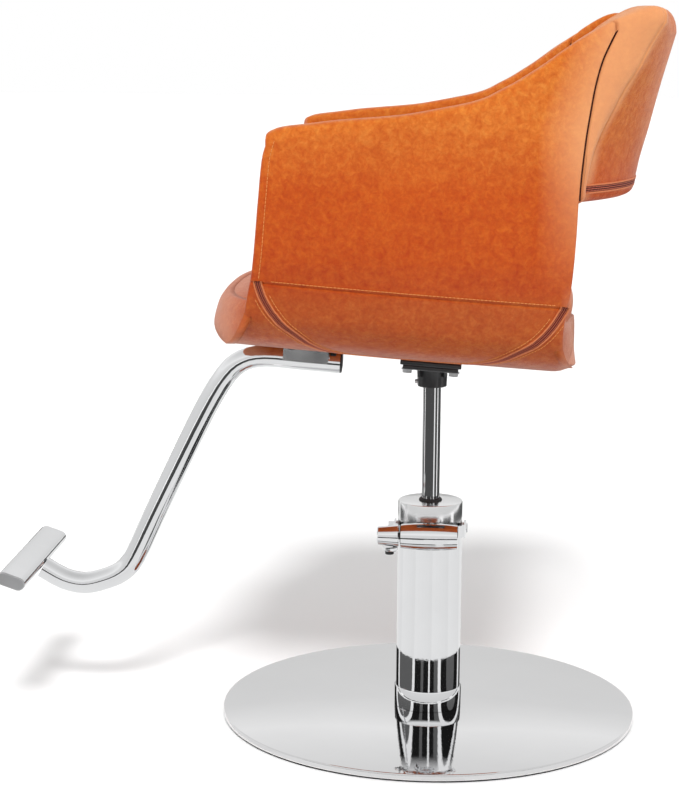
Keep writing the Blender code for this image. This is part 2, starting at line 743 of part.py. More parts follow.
def band_skin(t, v, ahead=0.0):
    """Skin of the band: t from -1 at one rear side seam to 1 at the other.

    Its top comes down at the corner strips to meet the arms, and the lining's top meets theirs by ahead.
    """
    side = math.copysign(1.0, t)
    far = abs(t)
    share = max(0.0, (far - BAND_SPLIT) / (1 - BAND_SPLIT))
    top = 1.0340 - 0.0030 * far * far
    meeting = table(ARM_TOP, table(SEAM_REAR, 1.010) + ahead * share)
    top += (meeting - top) * share ** 1.5
    top -= CROWN
    z = BAND_BOTTOM + (top - BAND_BOTTOM) * v
    if far <= BAND_SPLIT:
        x = SEAM_BACK_X * far / BAND_SPLIT
        return Vector((side * x, back_plan(x, z), z))
    first = Vector((SEAM_BACK_X, table(SEAM_BACK, z), z))
    y = table(SEAM_REAR, z) + SEAM_GAP
    last = Vector((side_width(y, z), y, z))
    spot = first.lerp(last, share)
    bulge = 0.004 * math.sin(math.pi * share)
    return Vector((side * (spot.x + bulge), spot.y + bulge, z))


def back_panel(seat):
    """The backrest band, with the strips that turn its corners towards the arms."""
    rings = []
    steps = 24
    for k in range(steps + 1):
        t = -1 + 2 * k / steps
        side = math.copysign(1.0, t)
        corner = Vector((side * CORNER_MITRE[0], CORNER_MITRE[1], 0))
        inward = Vector((0, -WALL_T, 0)).lerp(corner, min(1.0, abs(t)) ** 1.6)
        ring = wall_ring(lambda v: band_skin(t, v), lambda v: band_skin(t, v, inward.y) + inward, 8)
        rings.append([tuple(p) for p in ring])
    loft("back_panel", rings, "leather", parent=seat, ladder=True)


# ---------------------------------------------------------------- assembly
def main():
    clear_scene()
    seat = empty("seat_swivel_axis", (0, 0, HUB_BOTTOM))
    lever = empty("lever_pivot_axis", (0, 0, LEVER_Z - 0.006))
    base_cover()
    base_plate()
    base_pads()
    column_tube()
    column_collar()
    pump_cylinder()
    guide_bush()
    column_cap()
    wiper_seal()
    pivot_bolts()
    lever_yoke(lever)
    pedal_barrel(lever)
    pedal_knob(lever)
    pedal_stop(lever)
    lift_parts(seat)
    seat_hub(seat)
    mounting_plates(seat)
    footrest_tube(seat)
    footrest_bar(seat)
    footrest_bracket(seat)
    seat_board(seat)
    seat_shell(seat)
    seat_filler(seat)
    seat_cushion(seat)
    seat_rear_roll(seat)
    for side, tag in ((-1, "right"), (1, "left")):
        arm(seat, side, tag)
    back_panel(seat)


main()
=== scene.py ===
"""Salon styling chair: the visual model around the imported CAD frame.

Metres, +Z up. The front of the chair faces -Y, its left side +X. Upholstery is modelled here as its own
pieces; the metal parts are the CAD nodes, with smooth shading normals and procedural materials.
"""
import math

import bpy
import numpy as np
from mathutils import Matrix, Vector
from mathutils.bvhtree import BVHTree


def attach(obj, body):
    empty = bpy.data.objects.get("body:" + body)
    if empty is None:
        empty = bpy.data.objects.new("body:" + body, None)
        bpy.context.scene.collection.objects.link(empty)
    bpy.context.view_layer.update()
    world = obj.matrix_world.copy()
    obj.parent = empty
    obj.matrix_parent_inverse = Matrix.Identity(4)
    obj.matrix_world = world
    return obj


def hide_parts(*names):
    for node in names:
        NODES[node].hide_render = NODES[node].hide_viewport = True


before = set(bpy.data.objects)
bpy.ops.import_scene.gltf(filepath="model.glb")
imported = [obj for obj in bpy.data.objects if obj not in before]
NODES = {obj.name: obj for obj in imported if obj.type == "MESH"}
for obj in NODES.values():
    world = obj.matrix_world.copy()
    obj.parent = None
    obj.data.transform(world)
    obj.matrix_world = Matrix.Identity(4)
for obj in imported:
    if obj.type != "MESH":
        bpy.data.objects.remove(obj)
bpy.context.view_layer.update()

# ---- sizes, many of them the CAD part's
RAKE = math.radians(4.0)
PLATE_TOP = 0.5403          # top of the mounting plate, about which the seat is tipped
SHELL_TOP = 0.6150
CUSHION_HALF = 0.2140
PAD_HALF = CUSHION_HALF - 0.001     # half the width of the cushion's and the roll's covers
WALL_T = 0.0480             # thickness of the arms and the back
CROWN = 0.0180              # height of a wall's rounded top
HALF_WIDTH = 0.300          # half the chair's width where it is widest
WIDEST_Y = -0.005
SIDE_BEND = 0.35            # how quickly the side curves in from there to the front
REAR_BEND = 0.8             # and to the rear, as a share of that
MITRE = np.array((-0.0460, -0.0300, 0.0))   # from skin to lining where arm and band meet
REAR_WAY = np.array((-0.030, 0.046, 0.0)) / math.hypot(0.030, 0.046)   # square to the mitre
SIDE_SEAM = 0.6570          # height of the seam along the side, in the raked frame
BAND_BOTTOM = 0.7800
BAND_TOP = 1.0340
BAND_LIP = 0.0150           # height of the band's rounded bottom
BAND_ZIP_Z = 0.7985
SEAM_BACK_X = 0.262         # where the back turns into the corner strips
BAND_SPLIT = 0.82           # the same place as a share of the way from the middle to the arm
FRONT_ROLL = 0.0065         # how far the arm's front edge rounds forward of its seam
REAR_ROLL = 0.0022          # how far the edges at the corner seam are rounded
SEAM_GAP = 0.0006           # how far arm and band each stop short of the seam between them
SEAM_DEPTH = 0.0030         # how far the corner seam's backing lies below the leather
FLOOR_POCKET = 0.5634       # bottom of the pocket in the bowl, where the seat board lies
REAR_TURN = (0.168, 0.036, 0.018)   # where the bowl turns up at the rear, over what length, how far

# Outlines of the tub and the back: ARM_TOP is (y, z), BOWL (x, z), and the others (z, y).
ARM_TOP = [
    (-0.222, 0.854), (-0.217, 0.862), (-0.210, 0.8695), (-0.202, 0.8740), (-0.189, 0.8770), (-0.164, 0.880),
    (-0.126, 0.885), (-0.039, 0.893), (0.012, 0.902), (0.051, 0.910), (0.072, 0.917), (0.089, 0.926),
    (0.108, 0.936), (0.127, 0.948), (0.146, 0.960), (0.183, 0.988), (0.213, 1.006), (0.244, 1.024),
    (0.255, 1.030),
]
TUB_FRONT = [
    (0.555, -0.2885), (0.572, -0.2785), (0.585, -0.2675), (0.592, -0.2585), (0.603, -0.2500), (0.620, -0.2435),
    (0.650, -0.2365), (0.690, -0.2282), (0.780, -0.2200), (0.835, -0.2145), (0.860, -0.2080), (0.900, -0.2010),
]
TUB_REAR = [
    (0.530, 0.207), (0.552, 0.203), (0.565, 0.189), (0.575, 0.183), (0.600, 0.180), (0.645, 0.1835),
    (0.660, 0.187), (0.735, 0.193), (0.800, 0.1955), (0.863, 0.201), (0.899, 0.206), (0.930, 0.211),
    (0.962, 0.219), (0.988, 0.230), (1.010, 0.241), (1.030, 0.253),
]
SEAM_BACK = [
    (0.780, 0.1975), (0.798, 0.1985), (0.819, 0.2025), (0.847, 0.2105), (0.876, 0.2225), (0.903, 0.2365),
    (0.930, 0.2505), (0.957, 0.2675), (0.986, 0.2815), (1.030, 0.3095),
]
BACK_CENTRE = [
    (0.78, 0.276), (0.797, 0.281), (0.831, 0.288), (0.871, 0.2985), (0.918, 0.3095), (0.958, 0.3195),
    (0.990, 0.3280), (1.030, 0.3375),
]
BOWL = [
    (0.000, 0.5410), (0.100, 0.5455), (0.150, 0.5530), (0.200, 0.5625), (0.235, 0.5750), (0.258, 0.5910),
    (0.270, 0.6030), (0.2765, 0.6150),
]


# ---- small tools
class Smooth:
    """A smooth curve through a table of (place, value) pairs that doesn't overshoot between them."""

    def __init__(self, pairs):
        self.at, self.value = np.array(pairs, float).T
        slope = np.diff(self.value) / np.diff(self.at)
        self.tangent = np.zeros(len(self.at))
        self.tangent[0], self.tangent[-1] = slope[0], slope[-1]
        same = slope[:-1] * slope[1:] > 0
        both = np.where(same, slope[:-1] + slope[1:], 1.0)
        self.tangent[1:-1] = np.where(same, 2 * slope[:-1] * slope[1:] / both, 0.0)

    def __call__(self, at):
        at = np.clip(np.asarray(at, float), self.at[0], self.at[-1])
        i = np.clip(np.searchsorted(self.at, at, side="right") - 1, 0, len(self.at) - 2)
        wide = self.at[i + 1] - self.at[i]
        t = (at - self.at[i]) / wide
        return ((2 * t**3 - 3 * t**2 + 1) * self.value[i] + (t**3 - 2 * t**2 + t) * wide * self.tangent[i]
                + (3 * t**2 - 2 * t**3) * self.value[i + 1] + (t**3 - t**2) * wide * self.tangent[i + 1])


arm_top, tub_front, tub_rear = Smooth(ARM_TOP), Smooth(TUB_FRONT), Smooth(TUB_REAR)
seam_back, back_centre = Smooth(SEAM_BACK), Smooth(BACK_CENTRE)


def drop(y):
    """How much lower the raked seat is at a place along the chair."""
    return -math.tan(RAKE) * y


def rake(points):
    """Tips points about the top of the mounting plate, as the CAD seat is tipped."""
    points = np.array(points, float)
    y, z = points[..., 1].copy(), points[..., 2] - PLATE_TOP
    points[..., 1] = y * math.cos(RAKE) + z * math.sin(RAKE)
    points[..., 2] = PLATE_TOP - y * math.sin(RAKE) + z * math.cos(RAKE)
    return points


def unit(vectors):
    return vectors / np.maximum(np.linalg.norm(vectors, axis=-1, keepdims=True), 1e-12)


def smoothstep(x):
    x = np.clip(x, 0, 1)
    return x * x * (3 - 2 * x)


def mirror(points):
    return [(-x, y, z) for x, y, z in points]


def side_width(y, z):
    """Half the chair's width: curved in towards both ends, and narrower low down."""
    middle = HALF_WIDTH - SIDE_BEND * (y - WIDEST_Y) ** 2 * np.where(y < WIDEST_Y, 1.0, REAR_BEND)
    low = np.maximum(0.0, 0.70 - z)
    return middle - 1.6 * low * low - 0.10 * low


def new_object(name, points, faces, smooth=True):
    mesh = bpy.data.meshes.new(name)
    mesh.from_pydata([tuple(p) for p in points], [], faces)
    mesh.validate()
    mesh.update()
    if smooth:
        mesh.shade_smooth()
    obj = bpy.data.objects.new(name, mesh)
    bpy.context.scene.collection.objects.link(obj)
    return obj


def tube_faces(rings, count):
    """Quads between consecutive rings of count points."""
    faces = []
    for k in range(rings - 1):
        a, b = k * count, (k + 1) * count
        faces += [(a + i, a + (i + 1) % count, b + (i + 1) % count, b + i) for i in range(count)]
    return faces


def capped(rings, count):
    """The same, with one face across each end."""
    last = range((rings - 1) * count, rings * count)
    return tube_faces(rings, count) + [tuple(range(count)), tuple(reversed(last))]


def ladder(start, count):
    """Quads that close a folded ring, from each pair of facing points to the next."""
    faces = []
    for i in range(count // 2 - 1):
        faces.append((start + i, start + i + 1, start + count - 2 - i, start + count - 1 - i))
    return faces


def wall(name, rings):
    """A closed padded wall from folded rings: point i faces point count-1-i across the wall."""
    rings = np.array(rings)
    number, count = rings.shape[:2]
    faces = tube_faces(number, count)
    faces += [tuple(reversed(f)) for f in ladder(0, count)] + ladder((number - 1) * count, count)
    obj = new_object(name, rings.reshape(-1, 3), faces)
    outward(obj)
    return obj


def outward(obj):
    """Turns a closed mesh's faces outward."""
    mesh = obj.data
    mesh.calc_loop_triangles()
    co = np.array([v.co for v in mesh.vertices])
    tri = np.array([t.vertices for t in mesh.loop_triangles])
    a, b, c = co[tri[:, 0]], co[tri[:, 1]], co[tri[:, 2]]
    if np.einsum("ij,ij->i", a, np.cross(b, c)).sum() < 0:
        mesh.flip_normals()


def solid_tube(name, rings):
    """A closed body from an array of rings."""
    number, count = rings.shape[:2]
    obj = new_object(name, rings.reshape(-1, 3), capped(number, count))
    outward(obj)
    return obj


def rounded_end(ring, push, steps=5, power=2.4):
    """Rings that close a folded ring with a rounded end, pushed along a vector."""
    middle = (ring + ring[::-1]) / 2
    made = []
    for k in range(1, steps + 1):
        angle = math.pi / 2 * k / steps
        t = math.sin(angle)
        keep = max(1 - t**power, 0.0) ** (1 / power)
        made.append(middle + (ring - middle) * max(keep, 0.04) + push * t)
    return made


# ---- upholstery shapes
def groove(offset, width, depth):
    """Depth of a sewn groove at an offset from its line."""
    return depth * np.exp(-(offset / width) ** 2)


def tub_outer():
    """Rows of the tub's outer skin from the bottom's middle to the top of an arm: kind, and where it lies."""
    rows = []
    bowl_x, bowl_z = np.array(BOWL).T
    along = np.concatenate([[0], np.cumsum(np.hypot(np.diff(bowl_x), np.diff(bowl_z)))])
    curve_x, curve_z = Smooth(list(zip(along, bowl_x))), Smooth(list(zip(along, bowl_z)))
    for s in np.linspace(0, along[-1], 46)[:-1]:
        rows.append(("bowl", float(curve_x(s)), float(curve_z(s))))
    span = SIDE_SEAM - SHELL_TOP
    low = list(np.linspace(0, span - 0.006, 7)) + [span - 0.0035, span - 0.0022, span - 0.001, span]
    rows += [("low", a, 0.0) for a in low]
    rows += [("just", a, 0.0) for a in (0.001, 0.0022, 0.0035, 0.006)]
    rows += [("high", float(b), 0.0) for b in np.linspace(0.0, 1.0, 48)]
    return rows


def skin_row(row, u, ahead):
    """One row of skin from front to rear. The lining takes its height from further along, by ahead."""
    kind, first, second = row
    y = -0.235 + 0.42 * u       # a first guess, which the loop makes exact
    for _ in range(16):
        own = y + ahead
        if kind == "bowl":
            turn = np.clip((own - REAR_TURN[0]) / REAR_TURN[1], 0, 1) ** 2.2
            fade = smoothstep((SHELL_TOP - second) / (SHELL_TOP - BOWL[0][1]))
            z = second + drop(own) + REAR_TURN[2] * turn * fade
        elif kind == "low":
            z = SHELL_TOP + first + drop(own)
        elif kind == "just":
            z = SIDE_SEAM + first + drop(own)
        else:
            base = SIDE_SEAM + 0.0090 + drop(own)
            z = base + (arm_top(own) - CROWN - base) * first
        front, rear = tub_front(z), tub_rear(z) - SEAM_GAP - REAR_ROLL
        y = front + (rear - front) * u
    x = side_width(y, z)
    if kind == "bowl":
        x = first / BOWL[-1][0] * side_width(y, SHELL_TOP + drop(y))
    return np.stack([x, y, z], -1)


def tub_lean(u, y):
    """The way in from the skin to the lining, in plan: square to the side, mitred at the rear."""
    slope = -2 * SIDE_BEND * (y - WIDEST_Y) * np.where(y < WIDEST_Y, 1.0, REAR_BEND)
    run = unit(np.stack([slope, np.ones_like(y)], -1))
    lean = np.stack([-run[:, 1], run[:, 0], np.zeros_like(y)], -1) * WALL_T
    share = smoothstep((u - 0.72) / 0.28)[:, None]
    return lean * (1 - share) + MITRE * share


def tub_grid(u):
    """Points of the outer skin and of the lining for stations u (0 front, 1 rear)."""
    rows = tub_outer()
    outer = np.zeros((len(u), len(rows), 3))
    inner = np.zeros_like(outer)
    for j, row in enumerate(rows):
        kind, first, _ = row
        outer[:, j] = skin_row(row, u, 0.0)
        lean = tub_lean(u, outer[:, j, 1])
        if kind == "bowl":
            part = first / BOWL[-1][0]
            flat, place = (outer[:, j] + lean * part)[:, :2].T
            open_board = (flat < 0.1487) & (place > -0.189) & (place < 0.129)
            level = np.where(open_board, FLOOR_POCKET, SHELL_TOP)
            inner[:, j] = np.stack([flat, place, level + drop(place)], -1)
            continue
        inner[:, j] = skin_row(row, u, lean[:, 1]) + lean
        offset = {"low": first - (SIDE_SEAM - SHELL_TOP), "just": first}.get(kind)
        if offset is not None:
            welt = 0.0008 * math.exp(-((offset - 0.0030) / 0.0018) ** 2)
            outer[:, j, 0] -= groove(offset, 0.0014, 0.0018) - welt
    return outer, inner


def crown_arc(top, inward, steps=13, height=CROWN, power=4.0):
    """Points over the top of a wall, from skin to lining: the higher the power, the squarer."""
    made = []
    for i in range(1, steps + 1):
        angle = math.pi * i / (steps + 1)
        reach = math.copysign(abs(math.cos(angle)) ** (2 / power), math.cos(angle))
        lift = height * math.sin(angle) ** (2 / power)
        made.append(top + inward * (1 - reach) / 2 + np.array((0, 0, lift)))
    return made


def build_tub():
    """The tub's cover: both arms and the bowl between them, one leather-covered wall."""
    near = np.array([0, 0.006, 0.013, 0.022, 0.034])
    u = np.concatenate([near, np.linspace(0.05, 0.955, 62), [0.97, 0.98, 0.988, 0.995, 1.0]])
    outer, inner = tub_grid(u)
    flip = np.array((-1.0, 1.0, 1.0))
    rings = []
    for k in range(len(u)):
        arc = np.array(crown_arc(outer[k, -1], inner[k, -1] - outer[k, -1]))
        half = len(arc) // 2
        left = outer[k] * flip
        skin = np.concatenate([(arc[:half + 1] * flip)[::-1], left[::-1][:-1], outer[k], arc[:half + 1]])
        across = [(inner[k] * flip)[::-1][:-1], inner[k]]
        lining = np.concatenate([arc[half:] * flip, *across, arc[half:][::-1]])
        rings.append(np.concatenate([skin, lining[::-1]]))
    front = rounded_end(rings[0], np.array((0, -FRONT_ROLL, 0.0)))
    for k, ring in enumerate(front):
        near_top = smoothstep((ring[:, 2] - rings[0][:, 2].max() + 0.030) / 0.030)
        ring[:, 2] -= 0.011 * (1 - math.cos(math.pi / 2 * (k + 1) / len(front))) * near_top
    sign = np.sign(rings[-1][:, :1])
    push = np.concatenate([sign * REAR_WAY[0], np.full_like(sign, REAR_WAY[1]), np.zeros_like(sign)], 1)
    rear = rounded_end(rings[-1], push * REAR_ROLL)
    return wall("tub_cover", front[::-1] + rings + rear)


def back_plan(x, z):
    """How far back the band's skin stands at a place across it."""
    share = np.clip(np.abs(x) / SEAM_BACK_X, 0, 1)
    rear, corner = back_centre(z), seam_back(z)
    return rear - (rear - corner) * share**2.3


def band_crown(far):
    """Height of the band's rounded top: taller and rounder across the middle."""
    return CROWN + 0.015 * smoothstep((0.86 - far) / 0.30)


def band_skin(t, v, ahead=0.0):
    """The band's skin at t (-1 to 1 round the back) for heights v. Its top comes down to meet the arms."""
    far = abs(t)
    side = math.copysign(1.0, t)
    share = max(0.0, (far - BAND_SPLIT) / (1 - BAND_SPLIT))
    low = BAND_BOTTOM + BAND_LIP
    top = BAND_TOP - 0.0030 * far * far + 0.0030 * math.sin(math.pi * min(share / 0.8, 1.0))
    meeting = float(arm_top(tub_rear(1.000 + 0.5 * ahead * share) + ahead * share))
    top += (meeting - top) * share**2.2 - band_crown(far)
    z = low + (top - low) * v
    if far <= BAND_SPLIT:
        x = np.full_like(z, SEAM_BACK_X * far / BAND_SPLIT)
        return np.stack([side * x, back_plan(x, z), z], -1)
    y = tub_rear(z) + SEAM_GAP
    first = np.stack([np.full_like(z, SEAM_BACK_X), seam_back(z), z], -1)
    last = np.stack([side_width(y, z), y, z], -1)
    spot = first * (1 - share) + last * share
    spot[:, :2] += 0.004 * math.sin(math.pi * share)
    return spot * np.array((side, 1, 1))


def build_band():
    """The backrest band, with the corner strips that turn to the arms."""
    inside = list(np.linspace(0, BAND_SPLIT - 0.020, 34))
    around = [BAND_SPLIT + off for off in (-0.012, -0.006, -0.003, 0.0, 0.006, 0.014)]
    strip = [0.85, 0.87, 0.89, 0.91, 0.93, 0.95, 0.97, 0.985]
    right = inside + around + strip
    stations = [-t for t in right[::-1]][:-1] + right
    v = np.linspace(0, 1, 44)
    rings = []
    for t in [-1.0] + stations + [1.0]:
        far = abs(t)
        side = math.copysign(1.0, t)
        inward = np.array((0, -WALL_T, 0)) * (1 - far**1.6) + MITRE * np.array((side, 1, 1)) * far**1.6
        skin, lining = band_skin(t, v), band_skin(t, v, inward[1]) + inward
        if far == 1.0:
            back_off = REAR_WAY * np.array((side, 1, 1)) * REAR_ROLL
            skin, lining = skin + back_off, lining + back_off
        wide = 0.30 if far < BAND_SPLIT else 0.16
        skin = skin + inward / WALL_T * groove((far - BAND_SPLIT) * wide, 0.0016, 0.0026)
        crown = float(band_crown(far))
        square = 4.0 - (crown - CROWN) * 125
        top = crown_arc(skin[-1], lining[-1] - skin[-1], height=crown, power=square)
        bottom = crown_arc(skin[0], lining[0] - skin[0], height=-BAND_LIP, power=2.6)
        half = len(top) // 2
        outer = np.concatenate([np.array(bottom[:half + 1])[::-1], skin, np.array(top[:half + 1])])
        inner = np.concatenate([np.array(bottom[half:]), lining, np.array(top[half:])[::-1]])
        rings.append(np.concatenate([outer, inner[::-1]]))
    first = rounded_end(rings[0], -REAR_WAY * np.array((-1, 1, 1)) * REAR_ROLL)
    last = rounded_end(rings[-1], -REAR_WAY * REAR_ROLL)
    return wall("back_cover", first[::-1] + rings + last)


# Front and rear panels of the bowl, from top to bottom: a centre profile (y, z) and an edge line (x, y, z).
FASCIA_CENTRE = [
    (-0.2925, 0.6415), (-0.3005, 0.6300), (-0.3055, 0.6150), (-0.3085, 0.5990), (-0.3015, 0.5850),
    (-0.2850, 0.5785),
]
FASCIA_EDGE = [
    (0.2480, -0.2410, 0.6450), (0.2640, -0.2442, 0.6290), (0.2640, -0.2522, 0.6100), (0.2520, -0.2618, 0.5940),
    (0.2300, -0.2720, 0.5845), (0.2000, -0.2760, 0.5795),
]
REAR_CENTRE = [
    (0.1760, 0.6420), (0.1880, 0.6160), (0.1960, 0.5930), (0.1990, 0.5740), (0.1940, 0.5610), (0.1790, 0.5490),
]
REAR_EDGE = [
    (0.2450, 0.1768, 0.6480), (0.2600, 0.1756, 0.6250), (0.2600, 0.1766, 0.5980), (0.2500, 0.1811, 0.5780),
    (0.2300, 0.1880, 0.5640), (0.2050, 0.1947, 0.5550),
]
PANEL_DEPTH = 0.012
PANEL_ROWS = 30


def pillow(name, centre, edge, power=3.0):
    """A thin closed pillow across the bowl, from its centre profile out to its edges."""
    t = np.linspace(0, 1, len(centre))
    fine = np.linspace(0, 1, PANEL_ROWS)
    middle = [Smooth(list(zip(t, column)))(fine) for column in np.array(centre).T]
    rim = [Smooth(list(zip(t, column)))(fine) for column in np.array(edge).T]
    q = np.sin(np.linspace(-1, 1, 71) * math.pi / 2)
    outer = []
    for share in q:
        far = abs(share) ** power
        y = middle[0] * (1 - far) + rim[1] * far
        z = middle[1] * (1 - far) + rim[2] * far
        outer.append(np.stack([share * rim[0], y, z], -1))
    inward = np.array((0, math.copysign(PANEL_DEPTH, -centre[0][0]), 0.0))
    rings = [np.concatenate([row, (row + inward)[::-1]]) for row in outer]
    return wall(name, rings)


def cushion_section(half, low, top, edge=0.020, crown=0.012):
    """A crowned cross-section of the cushion, as a ring of (x, z) from the left of its underside."""
    under = [(x, low) for x in np.linspace(-half + edge, half - edge, 38)]
    corner = np.radians(np.linspace(-75, 0, 7))
    side = [(half - edge + edge * math.cos(a), low + edge + edge * math.sin(a)) for a in corner]
    upper = []
    for share in np.linspace(1, -1, 46):
        z = top - crown * abs(share) ** 2.4 - 0.010 * max(0, (abs(share) - 0.9) / 0.1) ** 2
        upper.append((share * (half - 0.004), z))
    other = [(-x, z) for x, z in side[::-1]]
    return np.array(under + side + upper + other)


def build_cushion():
    """The cushion's cover, from its rear end to its rounded front."""
    low = SHELL_TOP + 0.0006
    rings = []
    length = np.concatenate([np.linspace(0.139, 0.114, 8), np.linspace(0.106, -0.245, 60)])
    for y in length:
        end = smoothstep((0.141 - y) / 0.024) ** 0.5
        top = low + 0.012 + (0.6525 - low - 0.012) * end - 0.018 * smoothstep((-0.13 - y) / 0.12)
        half = PAD_HALF - 0.020 * (1 - end)
        section = cushion_section(half, low, top)
        rings.append(np.stack([section[:, 0], np.full(len(section), y), section[:, 1]], -1))
    front = [(-0.256, 0.6158, 0.6320), (-0.266, 0.6160, 0.6285), (-0.276, 0.6163, 0.6255),
             (-0.285, 0.6166, 0.6225), (-0.290, 0.6170, 0.6210), (-0.292, 0.6175, 0.6200)]
    for y, bottom, top in front:
        tall = top - bottom
        section = cushion_section(PAD_HALF - 0.004 * (y < -0.28), bottom, top,
                                  edge=min(0.020, tall * 0.5), crown=min(0.010, tall * 0.4))
        rings.append(np.stack([section[:, 0], np.full(len(section), y), section[:, 1]], -1))
    rings = rake(np.array(rings))
    pull = 0.047 * (np.abs(rings[..., 0]) / 0.262) ** 3.0
    rings[..., 1] += pull * smoothstep((-0.21 - rings[..., 1]) / 0.07)
    return solid_tube("seat_cushion_cover", rings)


def build_roll():
    """The roll behind the cushion, a flattened tube with rounded ends."""
    rings = []
    angle = np.linspace(0, 2 * math.pi, 40, endpoint=False)
    for share in np.sin(np.linspace(-1, 1, 61) * math.pi / 2):
        end = (1 - abs(share) ** 14) ** 0.5 * 0.85 + 0.15
        y = 0.1640 + 0.0225 * end * np.sign(np.cos(angle)) * np.abs(np.cos(angle)) ** 0.9
        z = 0.6500 + 0.0330 * end * np.sign(np.sin(angle)) * np.abs(np.sin(angle)) ** 0.85
        rings.append(np.stack([np.full(len(angle), share * PAD_HALF), y, z], -1))
    return solid_tube("rear_roll_cover", rake(np.array(rings)))


# ---- details laid on the covers
def dense(points, step):
    """A smooth line through guide points, at even steps."""
    points = np.array(points, float)
    along = np.concatenate([[0], np.cumsum(np.linalg.norm(np.diff(points, axis=0), axis=1))])
    curves = [Smooth(list(zip(along, column))) for column in points.T]
    at = np.linspace(0, along[-1], max(int(along[-1] / step), 2) + 1)
    return np.stack([curve(at) for curve in curves], -1)


def snapped(tree, points):
    """Guide points moved to the nearest place on a cover, with the cover's normals there."""
    spots, normals = [], []
    for p in points:
        spot, normal, _, _ = tree.find_nearest(Vector(p))
        spots.append(spot)
        normals.append(normal)
    spots, normals = np.array(spots), np.array(normals)
    for _ in range(3):
        normals[1:-1] = unit(normals[:-2] + normals[1:-1] * 2 + normals[2:])
    return spots, normals


def ribbon(spots, normals, profile):
    """A closed strip of a given cross-section, (across, up) pairs, along a line on a cover."""
    ahead = unit(np.gradient(spots, axis=0))
    across = unit(np.cross(ahead, normals))
    up = np.cross(across, ahead)
    rings = [[spots[k] + across[k] * a + up[k] * h for a, h in profile] for k in range(len(spots))]
    return np.array(rings).reshape(-1, 3), capped(len(spots), len(profile))


def merged(name, parts):
    """One object from several (points, faces) pairs."""
    points, faces, start = [], [], 0
    for spots, quads in parts:
        points.append(spots)
        faces += [tuple(i + start for i in f) for f in quads]
        start += len(spots)
    return new_object(name, np.concatenate(points), faces)


def cord_profile(radius, across=0.0, up=0.0):
    """A six-sided cord's cross-section."""
    angle = np.linspace(0, 2 * math.pi, 6, endpoint=False)
    return [(across + radius * math.cos(a), up + radius * math.sin(a)) for a in angle]


def stitches(spots, normals, pitch=0.0052, length=0.0038, radius=0.00050, up=0.00015):
    """Separate stitches along a line: short threads that dive in at both ends."""
    along = np.concatenate([[0], np.cumsum(np.linalg.norm(np.diff(spots, axis=0), axis=1))])
    parts = []
    for middle in np.arange(pitch, along[-1] - pitch, pitch):
        at = middle + length * np.array((-0.5, -0.3, 0.0, 0.3, 0.5))
        line = np.stack([np.interp(at, along, column) for column in spots.T], -1)
        up_way = np.stack([np.interp(at, along, column) for column in normals.T], -1)
        line = line + unit(up_way) * (radius * np.array((-0.9, 0.3, 0.6, 0.3, -0.9)) + up)[:, None]
        parts.append(ribbon(line, unit(up_way), cord_profile(radius)))
    return parts


# ---- materials
def new_material(name):
    mat = bpy.data.materials.new(name)
    mat.use_nodes = True
    tree = mat.node_tree
    return mat, tree, tree.nodes["Principled BSDF"]


def settle(node, **values):
    """Sets or links a node's sockets by name; an underscore stands for a space."""
    for name, value in values.items():
        socket = node.inputs[name.replace("_", " ")]
        if isinstance(value, bpy.types.NodeSocket):
            node.id_data.links.new(value, socket)
        else:
            socket.default_value = value
    return node


def make(tree, kind, **values):
    return settle(tree.nodes.new("ShaderNode" + kind), **values)


def coordinates(tree, scale=(1, 1, 1)):
    """The piece's own coordinates, which move with it."""
    place = make(tree, "TexCoord").outputs["Object"]
    return make(tree, "Mapping", Vector=place, Scale=scale).outputs["Vector"]


def noise(tree, vector, scale, detail=4.0, roughness=0.55, distortion=0.0):
    node = make(tree, "TexNoise", Vector=vector, Scale=scale, Detail=detail, Roughness=roughness,
                Distortion=distortion)
    return node.outputs["Fac"]


def axes(tree, vector):
    return list(make(tree, "SeparateXYZ", Vector=vector).outputs)


def spread(tree, value, low, high, into_low=0.0, into_high=1.0):
    """Maps a range of values onto another, clamped."""
    node = make(tree, "MapRange", Value=value)
    for socket, number in zip(node.inputs[1:5], (low, high, into_low, into_high)):
        socket.default_value = number
    return node.outputs[0]


def ramp(tree, value, stops, kind="LINEAR"):
    node = make(tree, "ValToRGB", Fac=value)
    node.color_ramp.interpolation = kind
    elements = node.color_ramp.elements
    while len(elements) < len(stops):
        elements.new(0.5)
    for element, (place, color) in zip(elements, stops):
        element.position = place
        element.color = (*color, 1.0)
    return node.outputs["Color"]


def blend_color(tree, factor, first, second, kind="MIX"):
    node = make(tree, "Mix")
    node.data_type = "RGBA"
    node.blend_type = kind
    for socket, value in ((node.inputs[0], factor), (node.inputs[6], first), (node.inputs[7], second)):
        if isinstance(value, (int, float)):
            socket.default_value = value
        elif isinstance(value, tuple):
            socket.default_value = (*value, 1.0)
        else:
            tree.links.new(value, socket)
    return node.outputs[2]


def combined(tree, first, second, how="MULTIPLY"):
    node = make(tree, "Math")
    node.operation = how
    tree.links.new(first, node.inputs[0])
    tree.links.new(second, node.inputs[1])
    return node.outputs[0]


def bump(tree, shader, heights, distance):
    """Chains heights into one bump, each with its own distance in metres."""
    before = None
    for height, deep in zip(heights, distance):
        node = make(tree, "Bump", Height=height, Distance=deep, Strength=1.0)
        if before is not None:
            settle(node, Normal=before)
        before = node.outputs["Normal"]
    settle(shader, Normal=before)


